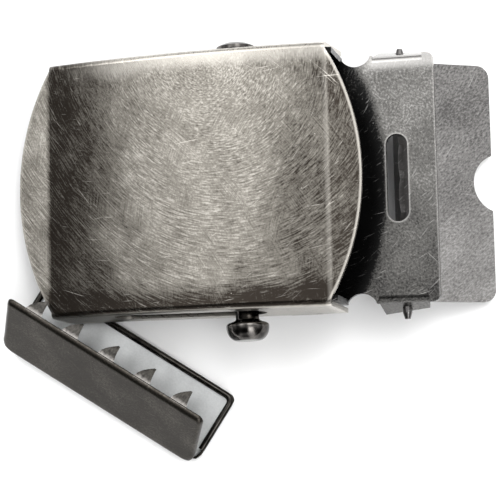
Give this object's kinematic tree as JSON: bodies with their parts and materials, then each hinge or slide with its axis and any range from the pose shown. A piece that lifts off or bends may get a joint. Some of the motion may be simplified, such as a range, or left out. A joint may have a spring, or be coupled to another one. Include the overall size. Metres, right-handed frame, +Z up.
{
  "type": "belt buckle",
  "caption": "Curved steel face plate over a sheet-steel frame, with a sliding roller pin that grips the web, a hinged clamp flap and a separate folded belt tip.",
  "frame": {"origin": "middle of the whole set's footprint, on the table it lies on", "axes": "+X along the web, out of the buckle towards the clamp flap; +Y across the web, away from the thumb knob; +Z up from the table"},
  "size_m": [0.0718, 0.0586, 0.0176],
  "materials": {
    "frame": "worn satin plate",
    "face_plate": "brushed, scratched, tarnished at the ends",
    "slide_pin": "dark polished steel",
    "pin_cap": "dark polished steel",
    "roller_sleeve": "plain drawn tube",
    "clamp_flap": "worn satin plate",
    "belt_tip": "smooth dark plate"
  },
  "bodies": {
    "buckle": {"frame": "frame", "face_plate": "face_plate"},
    "pin": {"slide_pin": "slide_pin", "pin_cap": "pin_cap"},
    "roller": {"roller_sleeve": "roller_sleeve"},
    "flap": {"clamp_flap": "clamp_flap"},
    "tip": {"belt_tip": "belt_tip"}
  },
  "joints": [
    {"name": "pin_slide", "type": "slide", "parent": "buckle", "child": "pin", "axis": [-0.9885, 0, -0.1514], "range_m": [0, 0.0153]},
    {"name": "roller_spin", "type": "hinge", "parent": "pin", "child": "roller", "pos_m": [0.0004, 0.00926, 0.01006], "axis": [-0.0233, 0.9997, -0.0036], "continuous": true},
    {"name": "flap_hinge", "type": "hinge", "parent": "buckle", "child": "flap", "pos_m": [0.02314, 0.00926, 0.00702], "axis": [0, 1, 0], "range_deg": [-32, 63]},
    {"name": "tip_away", "type": "slide", "parent": "buckle", "child": "tip", "axis": [-0.5446, -0.8387, 0], "range_m": [0, 0.03]}
  ]
}
